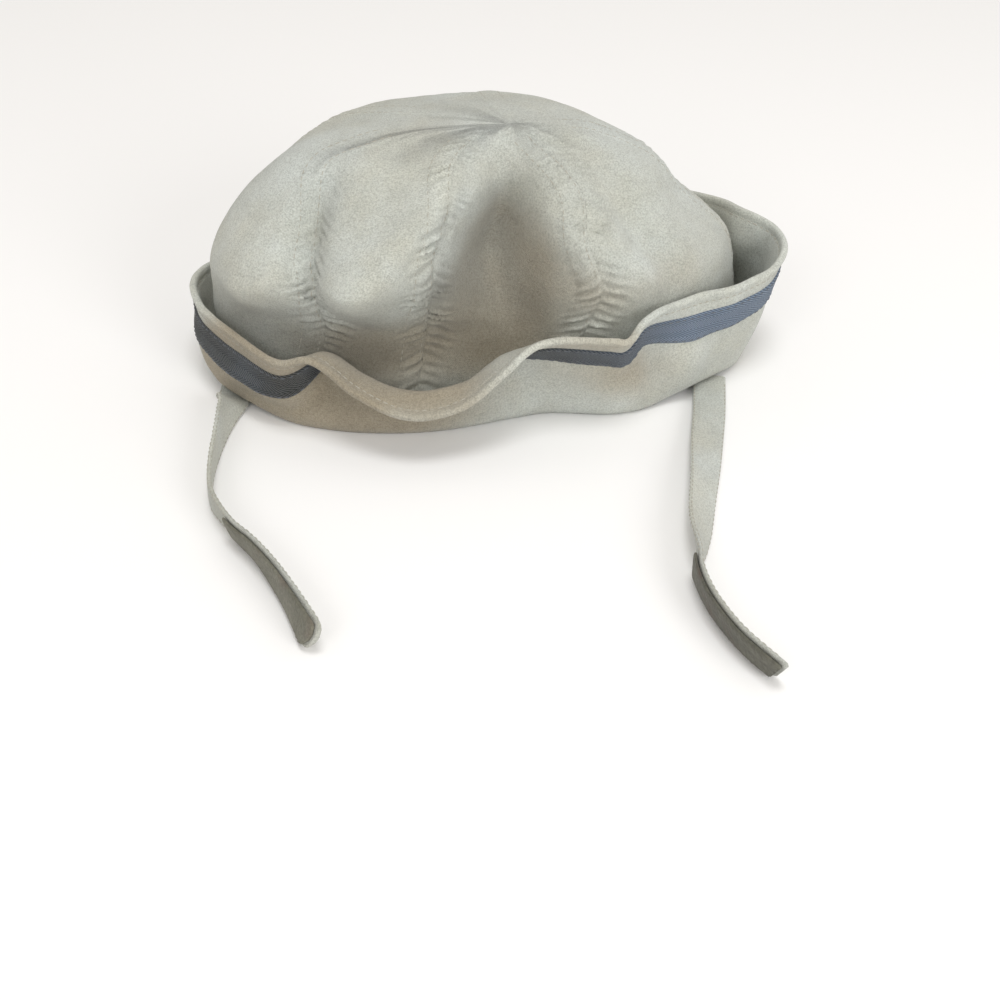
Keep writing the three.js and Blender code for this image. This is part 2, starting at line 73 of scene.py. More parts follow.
# node trees: one class for values, one function for any other node
def feed(tree, socket, value):
    value = value.socket if isinstance(value, Value) else value
    if isinstance(value, bpy.types.NodeSocket):
        tree.links.new(value, socket)
    else:
        socket.default_value = value


def addNode(tree, kind, settings=None, **inputs):
    node = tree.nodes.new(kind)
    for name, setting in (settings or {}).items():
        setattr(node, name, setting)
    for name, value in inputs.items():
        byIndex = name[0] == "i" and name[1:].isdigit()
        feed(tree, node.inputs[int(name[1:]) if byIndex else name], value)
    return node


class Value:
    def __init__(self, tree, socket):
        self.tree, self.socket = tree, socket

    def maths(self, operation, *others):
        inputs = {f"i{index}": value for index, value in enumerate((self, *others))}
        node = addNode(self.tree, "ShaderNodeMath", {"operation": operation}, **inputs)
        return Value(self.tree, node.outputs[0])

    __add__ = __radd__ = partialmethod(maths, "ADD")
    __sub__ = partialmethod(maths, "SUBTRACT")
    __mul__ = partialmethod(maths, "MULTIPLY")
    __truediv__ = partialmethod(maths, "DIVIDE")
    sine = partialmethod(maths, "SINE")
    size = partialmethod(maths, "ABSOLUTE")
    fraction = partialmethod(maths, "FRACT")

    def within(self, low, high):
        smooth = {"interpolation_type": "SMOOTHSTEP"}
        node = addNode(self.tree, "ShaderNodeMapRange", smooth, i0=self, i1=low, i2=high)
        return Value(self.tree, node.outputs[0])


class Finish:
    def __init__(self, name, **shader):
        self.material = bpy.data.materials.new(name)
        self.material.use_nodes = True
        self.tree = self.material.node_tree
        self.shader = self.tree.nodes["Principled BSDF"]
        for socket, value in shader.items():
            self.shader.inputs[socket.replace("_", " ")].default_value = value
        self.place = self.node("ShaderNodeTexCoord").outputs["Object"]
        sheet = self.node("ShaderNodeUVMap", {"uv_map": "cloth"})
        split = self.node("ShaderNodeSeparateXYZ", Vector=sheet.outputs[0])
        self.across, self.along = (Value(self.tree, output) * mapUnit for output in split.outputs[:2])

    def node(self, kind, settings=None, **inputs):
        return addNode(self.tree, kind, settings, **inputs)

    def value(self, kind, output, settings=None, **inputs):
        return Value(self.tree, self.node(kind, settings, **inputs).outputs[output])

    def mottle(self, scale, detail=3.0, roughness=0.55, place=None):
        return self.value("ShaderNodeTexNoise", 0, Vector=place or self.place, Scale=scale, Detail=detail,
                          Roughness=roughness)

    def streaks(self, acrossScale, alongScale):
        place = self.node("ShaderNodeCombineXYZ", X=self.across * acrossScale, Y=self.along * alongScale)
        return self.mottle(1.0, 2.0, 0.6, place.outputs[0])

    def painted(self, name):
        return self.value("ShaderNodeAttribute", "Fac", {"attribute_name": name})

    def blend(self, share, first, second, kind="MIX"):
        node = self.node("ShaderNodeMix", {"data_type": "RGBA", "blend_type": kind})
        for index, value in ((0, share), (6, first), (7, second)):
            feed(self.tree, node.inputs[index], (*value, 1.0) if isinstance(value, tuple) else value)
        return node.outputs[2]

    def coats(self, colour, *coats):  # each one's share, colour and how it's laid on
        for share, coat, *kind in coats:
            colour = self.blend(share, colour, coat, *kind)
        return colour

    def finish(self, colour, roughness, height, bumpDepth):
        bump = self.node("ShaderNodeBump", Strength=1.0, Distance=bumpDepth * mm, Height=height)
        for socket, value in (("Base Color", colour), ("Roughness", roughness), ("Normal", bump.outputs[0])):
            feed(self.tree, self.shader.inputs[socket], value)
        return self.material


clothFinish = {
    "pitch": 0.62,  # millimetres from thread to thread
    "light": (0.712, 0.756, 0.722),
    "dull": (0.580, 0.596, 0.532),
    "warm": (0.665, 0.662, 0.560),
    # the tan below colours stains and painted shade; the dark after it is painted shade in hollows and under
    # overhangs, and grime
    "stain": (0.425, 0.366, 0.266),
    "grime": (0.215, 0.203, 0.166),
    "threadShade": (0.58, 0.57, 0.55),
    "grainShade": (0.32, 0.32, 0.30),
    "share": {"warm": 0.55, "clouds": 0.16, "threads": 0.30, "slubs": 0.16, "grain": 0.50},
    "scale": {"wander": 90.0, "patches": 34.0, "warm": 26.0, "clouds": 110.0, "blotches": 21.0, "fuzz": 420.0,
              "grain": 1700.0},
    "bump": 0.16,
}


def clothMaterial(name, look):
    cloth = Finish(name, Sheen_Weight=0.25, Sheen_Roughness=0.6, Specular_IOR_Level=0.2)
    scale, share, shade = look["scale"], look["share"], look["grainShade"]
    turn = 2 * math.pi / look["pitch"]
    wander = cloth.mottle(scale["wander"]) * 26.0
    weave = (cloth.across * turn + wander).sine() * (cloth.along * turn - wander).sine()
    slubs = cloth.streaks(2.4, 0.20) + cloth.streaks(0.20, 2.4)
    patches = cloth.mottle(scale["patches"], 4.0)
    clouds = cloth.mottle(scale["clouds"], 5.0, 0.6).within(0.46, 0.74)
    grain = cloth.mottle(scale["grain"], 2.0, 0.75)
    worn = (patches * 1.5 + slubs * 0.45 - 0.72).within(0.0, 0.9)
    blotches = cloth.mottle(scale["blotches"], 5.0, 0.65)
    # stains together with painted shade, from the painted attribute
    soil = (cloth.painted("stain") * (0.45 + blotches * 1.1)).within(0.08, 1.0)
    warmth = cloth.mottle(scale["warm"]).within(0.42, 0.66)
    colour = cloth.coats(
        cloth.blend(worn, look["dull"], look["light"]),
        (warmth * share["warm"], look["warm"]),
        (clouds * share["clouds"], tuple(0.62 * part for part in look["dull"])),
        (soil, look["stain"]),
        # painted shade in hollows and under overhangs, and grime
        (cloth.painted("grime") * (0.5 + blotches * 0.8), look["grime"]),
        ((weave * 0.5 + 0.5) * share["threads"], look["threadShade"], "MULTIPLY"),
        (slubs.within(0.85, 1.35) * share["slubs"], shade, "MULTIPLY"),
        (grain.within(0.34, 0.72) * share["grain"], shade, "MULTIPLY"),
    )
    height = weave * 0.50 + slubs * 1.5 + cloth.mottle(scale["fuzz"]) * 0.9 + grain * 0.6
    return cloth.finish(colour, 0.86 + patches * 0.12, height, look["bump"])


clothMat = clothMaterial("washed_cotton", clothFinish)


# rows of a table as smooth curves, and the noise that crumples cloth
def rowsAt(rows, places, loop):
    rows = np.array(rows, float)
    count = len(rows)
    index = np.floor(places).astype(int)
    index = index if loop else np.clip(index, 0, count - 2)
    share = (places - index)[..., None]

    def pick(step):
        return rows[(index + step) % count if loop else np.clip(index + step, 0, count - 1)]

    a, b, c, d = (pick(step) for step in (-1, 0, 1, 2))
    bend = 2 * a - 5 * b + 4 * c - d + share * (3 * (b - c) + d - a)
    return b + 0.5 * share * (c - a + share * bend)


def ramp(value, low, high):
    share = np.clip((value - low) / (high - low), 0, 1)
    return share * share * (3 - 2 * share)


def hump(value, width):
    return np.exp(-((value / width) ** 2))


def unit(ways):
    return ways / np.maximum(np.linalg.norm(ways, axis=-1, keepdims=True), 1e-9)


def runLength(points, axis):
    steps = np.linalg.norm(np.diff(points, axis=axis), axis=-1)
    pad = [(0, 0)] * steps.ndim
    pad[axis] = (1, 0)
    return np.cumsum(np.pad(steps, pad), axis=axis)


def flatCut(grid):  # widest, longest and area of the cloth a grid was cut from, in metres
    width = runLength(grid, 0)[-1].max() * mm
    length = runLength(grid, 1)[:, -1].max() * mm
    across, along = np.diff(grid, axis=0)[:, :-1], np.diff(grid, axis=1)[:-1]
    return width, length, np.linalg.norm(np.cross(across, along), axis=-1).sum() * mm * mm


def resample(points, lengths, ways):
    return np.stack([np.interp(ways, lengths, axis) for axis in points.T], -1)


def ripple(points, size, key=0.0):
    flat = (points / size + key).reshape(-1, 3).tolist()
    return np.array([noise.noise(point) for point in flat]).reshape(points.shape[:-1])


# a closed cloth body from its two faces, with its flat map and painted values
def clothBody(name, outer, inner, loop, flat, material, painted=None):
    rows, columns = outer.shape[:2]
    corners = np.concatenate((outer.reshape(-1, 3), inner.reshape(-1, 3)))
    last = rows if loop else rows - 1
    r, c = (grid.ravel() for grid in np.meshgrid(np.arange(last), np.arange(columns - 1), indexing="ij"))
    faces, cells = [], []

    def quads(*ends):  # each end: outer or inner face, row, column
        index = [((side * rows) + row % rows) * columns + column for side, row, column in ends]
        faces.append(np.stack(index, -1))
        cells.append(np.stack([np.stack(end[1:], -1) for end in ends], 1))

    def strip(near, far):
        quads((0, *near), (1, *near), (1, *far), (0, *far))

    square = ((r, c), (r + 1, c), (r + 1, c + 1), (r, c + 1))
    quads(*((0, *cell) for cell in square))
    quads(*((1, *cell) for cell in square[::-1]))
    around = np.arange(last)
    first = np.zeros_like(around)
    strip((around, first), (around + 1, first))
    strip((around + 1, first + columns - 1), (around, first + columns - 1))
    if not loop:
        across = np.arange(columns - 1)
        first = np.zeros_like(across)
        strip((first, across + 1), (first, across))
        strip((first + rows - 1, across), (first + rows - 1, across + 1))
    faces = np.concatenate(faces)
    cells = np.concatenate(cells)
    a, b, c, d = (corners[faces[:, index]] for index in range(4))
    volume = np.einsum("ij,ij->", a, np.cross(b, c)) + np.einsum("ij,ij->", a, np.cross(c, d))
    if volume < 0:
        faces, cells = faces[:, ::-1], cells[:, ::-1]
    mesh = bpy.data.meshes.new(name)
    mesh.from_pydata(((corners + opening) * mm).tolist(), [], faces.tolist())
    layer = mesh.uv_layers.new(name="cloth")
    places = flat[cells[..., 0], cells[..., 1]] / mapUnit
    layer.data.foreach_set("uv", places.reshape(-1, 2).ravel())
    for label, values in (painted or {}).items():
        attribute = mesh.attributes.new(label, "FLOAT", "POINT")
        attribute.data.foreach_set("value", np.concatenate((values.ravel(), values.ravel())))
    mesh.polygons.foreach_set("use_smooth", np.ones(len(mesh.polygons), bool))
    mesh.materials.append(material)
    shape = bmesh.new()
    shape.from_mesh(mesh)
    bmesh.ops.remove_doubles(shape, verts=shape.verts, dist=1e-6)
    shape.to_mesh(mesh)
    shape.free()
    mesh.set_sharp_from_angle(angle=sharpAngle)
    return addObject(name, mesh)


# geometry nodes: a tree with named inputs, and a plain mesh from what it makes
def geometryTree(name, inputs):
    tree = bpy.data.node_groups.new(name, "GeometryNodeTree")
    tree.interface.new_socket("Geometry", in_out="INPUT", socket_type="NodeSocketGeometry")
    for label, value in inputs.items():
        kind = "NodeSocketInt" if isinstance(value, int) else "NodeSocketFloat"
        tree.interface.new_socket(label, in_out="INPUT", socket_type=kind).default_value = value
    tree.interface.new_socket("Geometry", in_out="OUTPUT", socket_type="NodeSocketGeometry")
    return tree, tree.nodes.new("NodeGroupInput").outputs, tree.nodes.new("NodeGroupOutput").inputs[0]


def closeTree(tree, shapes, material, result):
    make = partial(addNode, tree)
    made = make("GeometryNodeRealizeInstances", Geometry=shapes)
    made = make("GeometryNodeSetShadeSmooth", Geometry=made.outputs[0])
    made = make("GeometryNodeSetMaterial", Geometry=made.outputs[0], Material=material)
    tree.links.new(made.outputs[0], result)
    return tree


def grow(name, mesh, tree, values):
    piece = addObject(name, mesh)
    modifier = piece.modifiers.new("nodes", "NODES")
    modifier.node_group = tree
    for item in tree.interface.items_tree:
        if item.in_out == "INPUT" and item.name in values:
            modifier[item.identifier] = values[item.name]
    graph = bpy.context.evaluated_depsgraph_get()
    made = bpy.data.meshes.new_from_object(piece.evaluated_get(graph))
    piece.modifiers.clear()
    piece.data = made
    return piece


stitching = {"Pitch": 0.0026, "Length": 0.0020, "Width": 0.00042, "Height": 0.00036, "Seed": 3}


def threadMaterial(name, dark, light):
    thread = Finish(name, Sheen_Weight=0.2, Specular_IOR_Level=0.25)
    patches = thread.mottle(90.0, 3.0)
    colour = thread.blend(patches, dark, light)
    return thread.finish(colour, 0.75 + patches * 0.2, thread.mottle(1800.0, 2.0), 0.05)


def stitchTree(material):
    tree, given, result = geometryTree("running_stitch", stitching)
    make = partial(addNode, tree)
    line = make("GeometryNodeMeshToCurve", Mesh=given["Geometry"])
    steps = make("GeometryNodeResampleCurve", {"mode": "LENGTH"}, Curve=line.outputs[0], Length=given["Pitch"])
    tangent = make("GeometryNodeInputTangent")
    out = make("GeometryNodeInputNamedAttribute", {"data_type": "FLOAT_VECTOR"}, Name="out")
    axes = {"primary_axis": "X", "secondary_axis": "Z"}
    turn = make("FunctionNodeAxesToRotation", axes, i0=tangent.outputs[0], i1=out.outputs[0])
    bead = make("GeometryNodeMeshUVSphere", Segments=8, Rings=6, Radius=0.5)
    size = make("ShaderNodeCombineXYZ", X=given["Length"], Y=given["Width"], Z=given["Height"])
    bead = make("GeometryNodeTransform", Geometry=bead.outputs[0], Scale=size.outputs[0])
    uneven = make("FunctionNodeRandomValue", {"data_type": "FLOAT"}, i2=0.75, i3=1.1, Seed=given["Seed"])
    placed = make("GeometryNodeInstanceOnPoints", Points=steps.outputs[0], Instance=bead.outputs[0],
                  Rotation=turn.outputs[0], Scale=uneven.outputs[1])
    return closeTree(tree, placed.outputs[0], material, result)


clothThread = stitchTree(threadMaterial("cotton_thread", (0.34, 0.325, 0.27), (0.46, 0.44, 0.38)))
tapeThread = stitchTree(threadMaterial("tape_thread", (0.085, 0.095, 0.110), (0.170, 0.185, 0.210)))


def sewn(name, paths, tree, **values):
    corners, outs, edges = [], [], []
    for points, out, loop in paths:
        first, count = len(corners), len(points)
        corners.extend(((points + opening) * mm).tolist())
        outs.extend(out.tolist())
        last = count if loop else count - 1
        edges.extend((first + step, first + (step + 1) % count) for step in range(last))
    mesh = bpy.data.meshes.new(name)
    mesh.from_pydata(corners, edges, [])
    attribute = mesh.attributes.new("out", "FLOAT_VECTOR", "POINT")
    attribute.data.foreach_set("vector", np.array(outs).ravel())
    return grow(name, mesh, tree, {**stitching, **values})


# how strongly patches of stain and painted shade darken the cloth: middle, reach each way and amount
def stainAndShadeAt(points, patches):
    total = np.zeros(points.shape[:-1])
    for x, y, z, reachX, reachY, reachZ, amount in patches:
        off = (points - (x, y, z)) / (reachX, reachY, reachZ)
        total += amount * np.exp(-(off**2).sum(-1))
    return np.clip(total, 0, 1)


crown = {
    "wall": 1.6, "yaw": 4.0, "topFade": 0.97,
    "step": 1.0, "rows": 150, "columns": (36, 130),  # of the mesh
    "spread": 1.15,  # columns for a millimetre of the undented width
    "crease": 4.0,  # over what breadth a fold's left side turns into its right
    "sections": [  # up, z, midX, midY, halfWidth, front, back
        (0.00, 6, -5, 0, 90, 46, 49), (0.12, 16, -5, 0, 92, 50, 53), (0.28, 32, -6, 0, 92, 52, 57),
        (0.44, 48, -7, 0, 89, 51, 58), (0.58, 62, -11, 0, 77, 45, 55), (0.72, 75, -10, 0, 65, 35, 49),
        (0.84, 85, -11, -1, 47, 22, 41), (0.94, 90, -4, -4, 23, 9, 21), (1.00, 91, 6, -5, 1, 1, 1),
    ],
    "seams": [  # gore to the right of the seam, degrees at base, middle, top, puckers at base, middle, top
        ("crown_gore_front", -13, -6, 3, 0.60, 1.00, 0.45),
        ("crown_gore_right", 17, 31, 48, 0.50, 1.00, 0.45),
        ("crown_gore_back_right", 92, 97, 105, 0.22, 0.28, 0.14),
        ("crown_gore_back_left", 168, 170, 175, 0.22, 0.28, 0.14),
        ("crown_gore_left", 248, 245, 236, 0.30, 0.40, 0.04),
        ("crown_gore_front_left", 316, 324, 291, 0.45, 0.95, -0.75),
    ],
    "dents": [  # degrees, up, across, along, turn, depth
        (190, 0.50, 22, 24, 10, 6),
        (128, 0.55, 12, 22, -10, 4),
        (246, 0.52, 12, 22, 8, 4),
    ],
    "softness": 7.0,  # how far a fold runs together with itself
    "steady": 0.75,  # how nearly a fold moves all its cloth one way
    "folds": {  # along each: degrees, up, reach to its left and right, depth
        "front hollow": [
            (4, 0.00, 36, 30, 13), (5, 0.15, 35, 28, 22), (7, 0.32, 30, 25, 27), (10, 0.48, 23, 20, 29),
            (13, 0.62, 15, 15, 28), (16, 0.74, 9, 10, 17), (18, 0.83, 6, 8, 3),
        ],
        "crease in the hollow": [
            (18, 0.20, 10, 9, 1), (11, 0.36, 9, 9, 3), (9, 0.50, 8, 8, 4), (13, 0.64, 6, 7, 5),
            (17, 0.76, 5, 6, 2),
        ],
        "ridge left of the hollow": [
            (-24, 0.42, 12, 6, -4), (-18, 0.52, 12, 6, -7), (-11, 0.63, 10, 6, -6), (-5, 0.74, 8, 5, -4),
            (0, 0.84, 7, 5, -2),
        ],
        "lip of the left bulge": [
            (-72, 0.43, 12, 7, -1), (-62, 0.46, 14, 8, -5), (-53, 0.43, 15, 8, -9),
            (-46, 0.48, 13, 7, -4),
        ],
        "lip of the bulge beside the ridge": [
            (-38, 0.55, 11, 7, -2), (-31, 0.50, 13, 7, -6), (-24, 0.46, 14, 7, -8),
            (-19, 0.47, 10, 6, -3),
        ],
        "tuck under the bulges": [
            (-78, 0.30, 10, 20, 1.5), (-55, 0.28, 9, 22, 5.5), (-38, 0.30, 10, 22, 8),
            (-24, 0.28, 9, 22, 9), (-12, 0.29, 10, 20, 4),
        ],
        "valley of the left seam": [
            (-36, 0.40, 6, 6, 3), (-38, 0.52, 6, 7, 9), (-43, 0.64, 5, 7, 10), (-48, 0.75, 5, 8, 3),
        ],
        "lip of the right gore": [
            (28, 0.49, 13, 9, -1), (40, 0.49, 15, 10, -2.5), (56, 0.47, 15, 10, -2.5),
            (72, 0.46, 13, 9, -0.5),
        ],
        "crease left of the top": [
            (-68, 0.865, 4, 7, 0.3), (-46, 0.885, 4, 8, 1.5), (-26, 0.895, 4, 7, 1),
        ],
        "crease right of the top": [
            (36, 0.90, 4, 6, 1), (52, 0.88, 4, 8, 3), (68, 0.84, 4, 7, 0.5),
        ],
        "fall of the right gore": [
            (46, 0.36, 5, 5, 1), (49, 0.52, 5, 6, 4), (51, 0.66, 6, 7, 3.5), (52, 0.78, 6, 7, 1),
        ],
    },
    "stains_and_shade": [  # x, y, z, reach each way, amount
        (0, -40, 20, 46, 32, 18, 0.24),  # stain and painted shade at the foot of the hollow
        (-44, -46, 24, 24, 24, 13, 0.70),  # painted shadow and stain under the left bulges
        (52, -36, 42, 22, 20, 9, 0.30), (63, -30, 50, 22, 18, 8, 0.36),  # painted shade of a valley on the right gore above the rim
        (8, -28, 83, 9, 12, 7, 0.75), (17, -28, 60, 12, 14, 16, 0.46),  # painted shade at the top of the hollow
        (31, -41, 48, 10, 15, 12, 0.45),  # painted shade right of the hollow
        (-20, -8, 88, 22, 14, 10, 0.30),  # painted shade left of the top
        (-30, -30, 64, 16, 16, 4, 0.22),  # streak over the left bulge
        (-75, -38, 50, 16, 20, 12, 0.36),  # painted shade on the left bulge
    ],
    "grime": [
        (-45, -46, 24, 23, 24, 11, 0.78), (-63, -42, 28, 10, 18, 9, 0.50),  # painted shadow under the left bulges
        # painted shade on the left side and under the left bulges
        (-84, -28, 36, 16, 24, 12, 0.46), (-52, -54, 43, 18, 14, 6, 0.34),
        (-18, -44, 48, 8, 14, 9, 0.60), (-8, -34, 52, 8, 14, 14, 0.30),  # painted shade beside the ridge
    ],
    "soil": {  # stain and painted shade where the cloth is sunk, painted shade alone deep in the hollows; less at the left and at the foot
        "sunk": (3.0, 25.0), "amount": 0.56, "deep": (4.0, 32.0), "deepAmount": 0.54,
        "left": (-78.0, -52.0), "leftShare": 0.3, "foot": (6.0, 28.0), "footShare": 0.4,
    },
    "crumple": [(26.0, 0.60), (11.0, 0.30), (4.5, 0.10)],  # size and height of the wrinkles
    "puckers": {
        "pitch": 3.6, "slant": 0.45, "peak": 3.0, "fade": 12.5, "height": 0.80,
        "wander": 11.0, "strayed": 5.0,  # how the creases drift along the seam
        "bend": (7.0, 8.0), "bent": 2.2,
        "swell": (6.0, 16.0),  # where they gather and fade
        "crush": 4.0, "crushed": 0.55,
        "seeds": (3.7, 5.3, 2.1, 1.3),  # a stretch of noise of its own for each seam
    },
    "felled": {
        "width": 9.0, "height": 0.60, "edge": 0.9, "fall": 1.2, "firm": 2.2,
        "room": (5.0, 16.0),  # the seams' relief fades where the gores narrow
        "groove": 0.20, "grooveWidth": 0.8,
        "lines": (1.3, 7.8), "lineDepth": 0.32, "lineWidth": 0.6, "stitched": (4, 0.92),
    },
}


def crownForm(angle, up):
    rows = np.array(crown["sections"], float)
    ups = rows[:, 0]
    index = np.clip(np.searchsorted(ups, up, side="right") - 1, 0, len(ups) - 2)
    section = rowsAt(rows, index + (up - ups[index]) / (ups[index + 1] - ups[index]), False)
    z, midX, midY, halfWidth, front, back = (section[..., column] for column in range(1, 7))
    aside = halfWidth * np.sin(angle)
    ahead = np.where(np.cos(angle) > 0, front, back) * np.cos(angle)
    return np.stack((midX + aside, midY - ahead + math.tan(math.radians(crown["yaw"])) * aside, z), -1)


def surfaceFrame(surface, angle, up, reach=0.01):
    around = unit(surface(angle + reach, up) - surface(angle - reach, up))
    rise = unit(surface(angle, np.minimum(up + reach, 0.995)) - surface(angle, np.clip(up - reach, 0, 0.98)))
    return around, rise, unit(np.cross(around, rise))


def dentFrames():
    frames = []
    for degrees, up, across, along, turn, depth in crown["dents"]:
        angle, up = np.array(math.radians(degrees)), np.array(up)
        around, _, out = surfaceFrame(crownForm, angle, up)
        cosine, sine = math.cos(math.radians(turn)), math.sin(math.radians(turn))
        level = around * cosine + np.cross(out, around) * sine
        frames.append((crownForm(angle, up), level, np.cross(out, level), out, across, along, depth))
    return frames


def foldPaths():
    paths = []
    for rows in crown["folds"].values():
        row = rowsAt(rows, np.linspace(0, len(rows) - 1, 8 * len(rows)), False)
        angle, up = np.radians(row[:, 0]), row[:, 1]
        points = crownForm(angle, up)
        out = surfaceFrame(crownForm, angle, up)[2]
        leftward = np.cross(out, unit(np.gradient(points, axis=0)))
        heading = unit((np.abs(row[:, 4:]) * out).sum(0))
        out = unit(out + crown["steady"] * (heading - out))
        paths.append((points, out, leftward, row[:, 2], row[:, 3], row[:, 4]))
    return paths


crownDents = dentFrames()
crownFolds = foldPaths()


def crownSurface(angle, up):
    form = crownForm(angle, up)
    point = form.reshape(-1, 3)
    moved = point.copy()
    for middle, level, rise, out, across, along, depth in crownDents:
        off = point - middle
        share = hump(off @ level, across) * hump(off @ rise, along) * hump(off @ out, across + along)
        moved -= depth * share[..., None] * out
    for points, out, leftward, left, right, depth in crownFolds:
        apart = (point**2).sum(-1)[:, None] - 2 * point @ points.T + (points**2).sum(-1)
        weight = np.exp((apart.min(1, keepdims=True) - apart) / crown["softness"] ** 2)
        weight /= weight.sum(1, keepdims=True)
        off = point - weight @ points
        turned = ramp((off * (weight @ leftward)).sum(-1), -crown["crease"], crown["crease"])
        reach = weight @ right + (weight @ left - weight @ right) * turned
        share = np.exp(-(off**2).sum(-1) / reach**2)
        moved -= ((weight @ depth) * share)[:, None] * (weight @ out)
    return moved.reshape(form.shape)


def seamLevels(base, middle, top, up):
    return 2 * (up - 0.5) * (up - 1) * base + 4 * up * (1 - up) * middle + 2 * up * (up - 0.5) * top


def puckerRelief(near, way, strength, key, side):
    look = crown["puckers"]
    still = np.zeros_like(way)

    def drift(along, away, seed):
        return ripple(np.stack((along, still + away, still + seed), -1), 1.0)

    seeds = [key * seed for seed in look["seeds"]]
    wander = drift(way / look["wander"], seeds[0], side)
    bend = drift(way / look["bend"][0], near / look["bend"][1], seeds[1])
    swell = drift(way / look["swell"][0], near / look["swell"][1], seeds[2] + side)
    crush = drift(way / look["crush"], side * near / look["crush"], seeds[3])  # runs on over the seam
    turn = 2 * math.pi * (way + look["slant"] * near) / look["pitch"]
    creases = np.sin(turn + look["strayed"] * wander + look["bent"] * bend)
    shape = ramp(near, -1.5, look["peak"]) * (1 - ramp(near, look["peak"], look["fade"] * (1 + 0.5 * swell)))
    crush = look["crushed"] * strength * (1 - ramp(near, 2.0, 1.3 * look["fade"])) * crush
    return look["height"] * strength * np.clip(0.75 + 1.3 * swell, 0, 1.5) * shape * creases + crush


def goreGrid(index):
    following = (index + 1) % len(crown["seams"])
    left, right = crown["seams"][index], crown["seams"][following]
    turn = 0.0 if following else 360.0
    up = np.linspace(0, 1, crown["rows"] + 1)[None, :]
    leftAngle = np.radians(seamLevels(*left[1:4], up))
    rightAngle = np.radians(seamLevels(*(level + turn for level in right[1:4]), up))
    widest = np.full_like(up, 0.4)
    span = np.linalg.norm(crownForm(rightAngle, widest) - crownForm(leftAngle, widest), axis=-1)
    columns = int(np.clip(span[0, len(up[0]) // 2] * crown["spread"] / crown["step"], *crown["columns"]))
    share = np.linspace(0, 1, columns + 1)[:, None]
    angle = leftAngle + share * (rightAngle - leftAngle)
    ups = np.broadcast_to(up, angle.shape)
    form = crownForm(angle, ups)
    base = crownSurface(angle, ups)
    base[:, -1] = crown["sections"][-1][2], crown["sections"][-1][3], crown["sections"][-1][1]
    out = surfaceFrame(crownSurface, angle, ups)[2]
    out[:, -1] = upward
    sunk = ((form - base) * surfaceFrame(crownForm, angle, ups)[2]).sum(-1)
    fromLeft = runLength(base, 0)
    width = fromLeft[-1:]
    fromRight = width - fromLeft
    climb = runLength(base, 1)
    felled = crown["felled"]
    room = ramp(width, *felled["room"])
    relief = sum(height * ripple(base, size) for size, height in crown["crumple"])
    for key, near, way, side in ((index, fromLeft, climb[:1], 1.0), (following, fromRight, climb[-1:], -1.0)):
        strength = np.clip(seamLevels(*crown["seams"][key][4:7], ups), 0, None) * room
        relief = relief + puckerRelief(near, np.broadcast_to(way, climb.shape), strength, key, side)
        shown = np.clip(felled["firm"] * strength, 0, 1)
        relief = relief - felled["groove"] * hump(near, felled["grooveWidth"]) * shown
    band = 1 - ramp(fromRight, felled["width"] - felled["fall"], felled["width"])  # at the right seam alone
    relief = relief + felled["height"] * shown * ramp(fromRight, 0.0, felled["edge"]) * band
    for line in felled["lines"]:
        relief = relief - felled["lineDepth"] * hump(fromRight - line, felled["lineWidth"]) * shown
    relief = relief * (1 - ramp(ups, crown["topFade"], 1.0))
    return form, base, out, relief, fromLeft, fromRight, climb, width, sunk


crownPieces, crownCuts = [], []
crownStitchPaths = []
for goreIndex, seam in enumerate(crown["seams"]):
    form, base, out, relief, fromLeft, fromRight, climb, width, sunk = goreGrid(goreIndex)
    outer = base + out * relief[..., None]
    inner = base - out * crown["wall"]
    flat = np.stack((fromLeft - 0.5 * width, climb), -1)
    soil = crown["soil"]
    kept = ramp(base[..., 0], *soil["left"])
    atLeft = soil["leftShare"] + (1 - soil["leftShare"]) * kept
    atFoot = soil["footShare"] + (1 - soil["footShare"]) * ramp(base[..., 2], *soil["foot"])
    # stain and painted shade where the cloth is sunk
    sunkStainAndShade = soil["amount"] * atLeft * ramp(sunk, *soil["sunk"])
    # painted shade deep in the hollows
    deepShade = soil["deepAmount"] * kept * ramp(sunk, *soil["deep"]) * atFoot
    painted = {
        "stain": np.clip(stainAndShadeAt(base, crown["stains_and_shade"]) + sunkStainAndShade, 0, 1),
        "grime": np.clip(stainAndShadeAt(base, crown["grime"]) + deepShade, 0, 1),
    }
    name = seam[0].replace("crown_gore", "crown_cloth")
    gore = clothBody(name, outer, inner, False, flat, clothMat, painted)
    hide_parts(seam[0])
    crownPieces.append(gore)
    crownCuts.append(flatCut(form))
    firstRow, lastShare = crown["felled"]["stitched"]
    for line in crown["felled"]["lines"]:
        path = []
        for row in range(firstRow, int(lastShare * crown["rows"])):
            if width[0, row] < 3 * line:
                continue
            place = np.interp(-line, -fromRight[:, row], np.arange(len(fromRight)))
            low = min(int(place), len(fromRight) - 2)
            share = place - low
            path.append([(1 - share) * grid[low, row] + share * grid[low + 1, row] for grid in (outer, out)])
        path = np.array(path)
        crownStitchPaths.append((path[:, 0], path[:, 1], False))
crownThreads = sewn("crown_seam_stitches", crownStitchPaths, clothThread, Width=0.00034, Height=0.00030)
print("crown sewn from", len(crownPieces), "gores")

